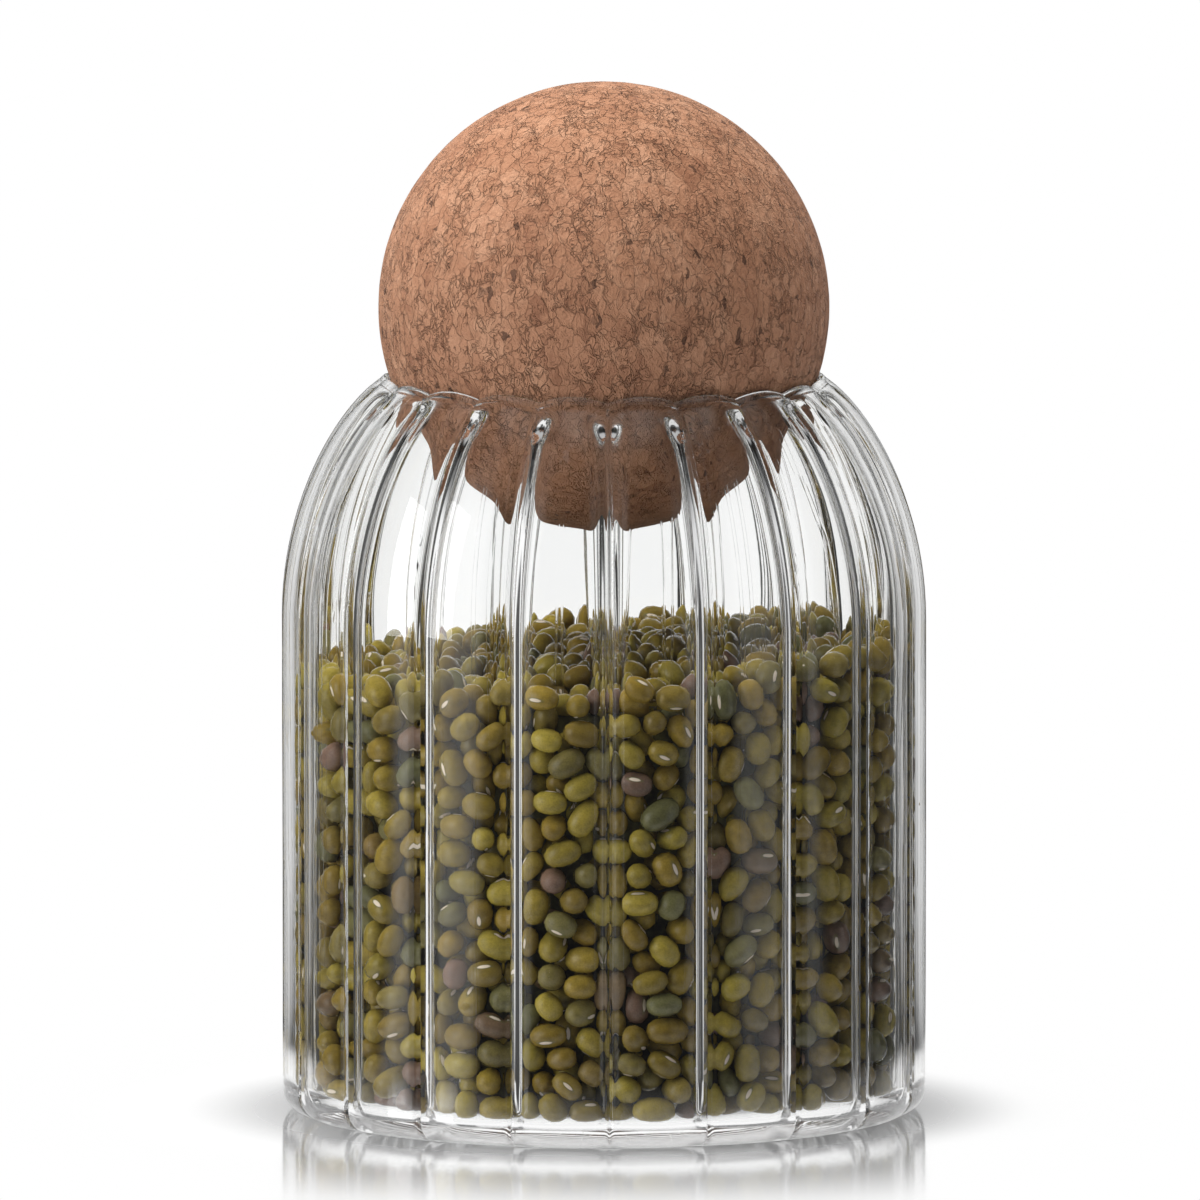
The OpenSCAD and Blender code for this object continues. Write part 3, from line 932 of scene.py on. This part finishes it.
class JAR_OT_press_cork(bpy.types.Operator):
    """Press the ball of cork that closes the jar"""

    bl_idname = "jar.press_cork"
    bl_label = "Press Cork"

    def execute(self, context):
        cork = context.scene.fluted_jar.cork
        piece = make_piece("pressed_ball", *cork_surface(cork), "lid", "cork")
        piece.data.materials.append(cork_material(cork))
        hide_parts("cork_ball")
        return {"FINISHED"}


# Stage

def studio_group():
    """Node group: how bright the studio is in a level direction, for clear glass and for reflections.

    Through: white in the eight main directions and dark in the narrow bands half way between them.
    Outside and Inside: what reflections see off the outside of the glass and from within it. Both have
    a soft box at each side and are dark in front, and only Inside is white at the back.
    """
    name = "Studio"
    if name in bpy.data.node_groups:
        return bpy.data.node_groups[name]
    group = bpy.data.node_groups.new(name, "ShaderNodeTree")
    group.interface.new_socket("Direction", in_out="INPUT", socket_type="NodeSocketVector")
    for output in ("Through", "Outside", "Inside"):
        group.interface.new_socket(output, in_out="OUTPUT", socket_type="NodeSocketFloat")
    given = group.nodes.new("NodeGroupInput").outputs["Direction"]
    flat = add_node(group, "ShaderNodeVectorMath", {0: given, 1: (1, 1, 0)}, operation="MULTIPLY").outputs[0]
    level = add_node(group, "ShaderNodeVectorMath", {0: flat}, operation="NORMALIZE").outputs[0]
    way = add_node(group, "ShaderNodeSeparateXYZ", {0: level}).outputs
    double_sine = maths(group, "MULTIPLY", maths(group, "MULTIPLY", way[0], way[1]), 2.0)
    double_cosine = maths(group, "SUBTRACT", maths(group, "POWER", way[0], 2.0), maths(group, "POWER", way[1], 2.0))
    slant = maths(group, "ABSOLUTE", maths(group, "MULTIPLY", maths(group, "MULTIPLY", double_sine, double_cosine), 2.0))
    through = between(group, slant, 0.86, 0.985, 1.04, 0.03)
    box = maths(group, "MULTIPLY", between(group, way[1], -0.85, -0.70), between(group, way[1], -0.20, -0.38))
    left = between(group, way[0], 0.1, -0.1)
    back = between(group, way[1], 0.55, 0.95)
    outside = maths(group, "MULTIPLY", box, maths(group, "ADD", maths(group, "MULTIPLY", left, 0.65), 0.35))
    inside = maths(group, "MULTIPLY", box, maths(group, "ADD", maths(group, "MULTIPLY", left, 0.25), 0.75))
    result = group.nodes.new("NodeGroupOutput")
    group.links.new(through, result.inputs["Through"])
    group.links.new(maths(group, "MAXIMUM", outside, 0.06), result.inputs["Outside"])
    group.links.new(maths(group, "MAXIMUM", maths(group, "MAXIMUM", inside, back), 0.06), result.inputs["Inside"])
    return group


def choose(tree, factor, first, second):
    """Mixes two numbers or sockets by a factor."""
    node = add_node(tree, "ShaderNodeMix", data_type="FLOAT")
    for key, value in (("Factor", factor), ("A", first), ("B", second)):
        if isinstance(value, bpy.types.NodeSocket):
            tree.links.new(value, node.inputs[key])
        else:
            node.inputs[key].default_value = value
    return node.outputs["Result"]


def studio_levels(tree, direction, path):
    """What clear glass sees in a direction, what reflections see there, and whether this is one of them."""
    node = tree.nodes.new("ShaderNodeGroup")
    node.node_tree = studio_group()
    tree.links.new(direction, node.inputs["Direction"])
    mirrored = maths(tree, "GREATER_THAN", path["Glossy Depth"], 0.5)
    within = maths(tree, "GREATER_THAN", path["Transmission Depth"], 0.5)
    boxes = choose(tree, within, node.outputs["Outside"], node.outputs["Inside"])
    return node.outputs["Through"], boxes, mirrored


def floor_material(stage):
    """Pale polished floor that fades to plain white away from the jar, and keeps its shadow near it. For rays that
    come through or off the glass it glows with painted studio light in place of its shading, and close round the jar
    it glows white: painted light in the glass's base.
    """
    material, tree, shader, place = new_material("Pale floor")
    away = add_node(tree, "ShaderNodeVectorMath", {0: place}, operation="LENGTH").outputs["Value"]
    shader.inputs["Base Color"].default_value = (*stage.floor, 1)
    grain = mottle(tree, place, 25, 0.5)
    tree.links.new(between(tree, grain, 0.3, 0.7, 0.9, 1.0), shader.inputs["Roughness"])
    shader.inputs["Specular IOR Level"].default_value = 0.0
    path = add_node(tree, "ShaderNodeLightPath").outputs
    # For rays that come through or off the glass, the floor glows with the studio's levels in place of its own
    # shading: painted studio light that the glass shows.
    seen_through, boxes, mirrored = studio_levels(tree, place, path)
    through = maths(tree, "SUBTRACT", path["Is Transmission Ray"], mirrored, clamp=True)
    seen_through = maths(tree, "MAXIMUM", seen_through, between(tree, away, 0.60, 0.40))
    level = choose(tree, through, 1.0, seen_through)
    level = choose(tree, mirrored, level, boxes)
    # Within 7 to 12 cm of the axis these rays see a white glow: painted light that makes the glass's base bright.
    level = maths(tree, "MAXIMUM", level, between(tree, away, 0.12, 0.07))
    white = add_node(tree, "ShaderNodeEmission", {"Color": level, "Strength": 1.0})
    shown = maths(tree, "MULTIPLY", between(tree, away, 0.050, 0.080, 0.15, 1.0), path["Is Camera Ray"])
    lift = maths(tree, "MAXIMUM", maths(tree, "MAXIMUM", through, mirrored), shown)
    lift = maths(tree, "MULTIPLY", lift, maths(tree, "LESS_THAN", path["Diffuse Depth"], 0.5))
    plain = add_node(tree, "ShaderNodeMixShader", {0: lift, 1: shader.outputs[0], 2: white.outputs[0]})
    # Painted contact shadow: the polish is darker within a few centimetres of the jar's foot.
    painted_contact_shadow = between(tree, away, 0.047, 0.068, 0.50, 1.0)
    polish = add_node(tree, "ShaderNodeBsdfAnisotropic", {"Color": painted_contact_shadow, "Roughness": 0.10})
    facing = add_node(tree, "ShaderNodeFresnel", {"IOR": 1.5}).outputs[0]
    facing = maths(tree, "MULTIPLY", facing, 1.6, clamp=True)
    gloss = maths(tree, "MULTIPLY", facing, between(tree, away, 0.062, 0.125, 1.0, 0.0))
    mixed = add_node(tree, "ShaderNodeMixShader", {0: gloss, 1: plain.outputs[0], 2: polish.outputs[0]})
    tree.links.new(mixed.outputs[0], tree.nodes["Material Output"].inputs["Surface"])
    return material


def floor_surface(rows=24, columns=96, reach=2.5):
    """A flat disc whose rings lie further apart outwards, by the square of their number."""
    radius = reach * np.linspace(0.02, 1, rows)[:, None] ** 2
    turn = np.linspace(0, FULL_TURN, columns, endpoint=False)[None, :]
    points = np.stack([radius * np.cos(turn), radius * np.sin(turn), 0 * radius * turn], -1).reshape(-1, 3)
    quads = closed_grid_faces(rows, columns)
    column = np.arange(columns)
    middle = np.full(columns, rows * columns)
    fan = np.stack([column, (column + 1) % columns, middle], -1)
    return np.vstack([points, [[0, 0, 0]]]), quads[:, ::-1], fan


def studio_world(stage):
    """White all round for the camera, and for glass and gloss with four soft grey bands between the sides."""
    world = bpy.data.worlds.new("Studio")
    bpy.context.scene.world = world
    world.use_nodes = True
    tree = world.node_tree
    direction = add_node(tree, "ShaderNodeTexCoord").outputs["Generated"]
    height = add_node(tree, "ShaderNodeSeparateXYZ", {0: direction}).outputs[2]
    path = add_node(tree, "ShaderNodeLightPath").outputs
    seen_through, boxes, mirrored = studio_levels(tree, direction, path)
    through = maths(tree, "SUBTRACT", path["Is Transmission Ray"], mirrored, clamp=True)
    scattered = maths(tree, "GREATER_THAN", path["Diffuse Depth"], 0.5)
    leaked = maths(tree, "MULTIPLY", scattered, path["Is Transmission Ray"])
    boxes = maths(tree, "MULTIPLY", boxes, between(tree, height, 0.45, 0.70, 1.0, 0.2))
    boxes = maths(tree, "MAXIMUM", boxes, between(tree, height, 0.85, 0.97, 0.0, 0.5))
    off_floor = maths(tree, "SUBTRACT", path["Is Glossy Ray"], path["Is Singular Ray"], clamp=True)
    off_floor = maths(tree, "SUBTRACT", off_floor, path["Transmission Depth"], clamp=True)
    boxes = maths(tree, "MAXIMUM", boxes, off_floor)
    level = choose(tree, through, stage.ambient, seen_through)
    level = choose(tree, mirrored, level, boxes)
    level = choose(tree, scattered, level, stage.ambient)
    level = choose(tree, leaked, level, 0.0)
    level = choose(tree, path["Is Camera Ray"], level, 1.0)
    background = tree.nodes["Background"]
    background.inputs["Strength"].default_value = 1
    tree.links.new(level, background.inputs["Color"])


def area_lamp(name, place, width, height, power, in_gloss):
    """A rectangular soft lamp that faces the middle of the jar, and may show in gloss or not."""
    lamp = bpy.data.lights.new(name, "AREA")
    lamp.shape = "RECTANGLE"
    lamp.size = width
    lamp.size_y = height
    lamp.energy = power
    lamp_object = bpy.data.objects.new(name, lamp)
    bpy.context.scene.collection.objects.link(lamp_object)
    target = Vector((0, 0, RIM_HEIGHT * 0.75))
    lamp_object.location = place
    lamp_object.rotation_euler = (target - Vector(place)).to_track_quat("-Z", "Y").to_euler()
    lamp_object.visible_glossy = in_gloss
    lamp_object.visible_transmission = False


class JAR_OT_set_stage(bpy.types.Operator):
    """Lay the floor, set the lamps and place the camera"""

    bl_idname = "jar.set_stage"
    bl_label = "Set Stage"

    def execute(self, context):
        stage = context.scene.fluted_jar.stage
        floor = make_piece("pale_floor", *floor_surface(), None, None)
        floor.data.materials.append(floor_material(stage))
        studio_world(stage)
        area_lamp("Overhead", (-0.12, 0.05, 1.15), 0.8, 0.8, 19.5, False)
        area_lamp("Left", (-1.0, -0.40, 0.30), 0.4, 0.8, 6.3, True)
        set_camera(stage)
        scene = context.scene
        scene.view_settings.view_transform = "Standard"
        scene.cycles.max_bounces = 48
        scene.cycles.glossy_bounces = 32
        scene.cycles.transmission_bounces = 24
        scene.cycles.transparent_max_bounces = 24
        return {"FINISHED"}


def set_camera(stage):
    """A long lens on the jar from the front, turned and tilted as the settings say."""
    camera = bpy.data.cameras.new("Camera")
    camera.sensor_width = 36
    camera.lens = camera.sensor_width * stage.distance / stage.view_width
    camera.clip_end = 20
    camera_object = bpy.data.objects.new("Camera", camera)
    bpy.context.scene.collection.objects.link(camera_object)
    side = Vector((math.cos(stage.turn), math.sin(stage.turn), 0))
    back = Vector((math.sin(stage.turn), -math.cos(stage.turn), 0))
    target = Vector((0, 0, stage.aim_height)) - side * stage.aim_side
    away = back * math.cos(stage.tilt) + Vector((0, 0, math.sin(stage.tilt)))
    camera_object.location = target + away * stage.distance
    camera_object.rotation_euler = (-away).to_track_quat("-Z", "Y").to_euler()
    bpy.context.scene.camera = camera_object


class VIEW3D_PT_fluted_jar(bpy.types.Panel):
    """Settings and makers of the fluted jar"""

    bl_label = "Fluted Glass Jar"
    bl_idname = "VIEW3D_PT_fluted_jar"
    bl_space_type = "VIEW_3D"
    bl_region_type = "UI"
    bl_category = "Jar"

    def draw(self, context):
        settings = context.scene.fluted_jar
        groups = (
            ("jar.blow_glass", settings.glass),
            ("jar.pour_beans", settings.beans),
            ("jar.press_cork", settings.cork),
            ("jar.set_stage", settings.stage),
        )
        for operator, group in groups:
            box = self.layout.box()
            box.operator(operator)
            for key in group.__annotations__:
                box.prop(group, key)


CLASSES = (
    GlassSettings,
    BeanSettings,
    CorkSettings,
    StageSettings,
    JarSettings,
    JAR_OT_blow_glass,
    JAR_OT_pour_beans,
    JAR_OT_press_cork,
    JAR_OT_set_stage,
    VIEW3D_PT_fluted_jar,
)


def register():
    for item in CLASSES:
        bpy.utils.register_class(item)
    bpy.types.Scene.fluted_jar = bpy.props.PointerProperty(type=JarSettings)


def unregister():
    del bpy.types.Scene.fluted_jar
    for item in reversed(CLASSES):
        bpy.utils.unregister_class(item)


def main():
    register()
    bpy.ops.jar.blow_glass()
    bpy.ops.jar.pour_beans()
    bpy.ops.jar.press_cork()
    bpy.ops.jar.set_stage()


if __name__ == "__main__":
    main()
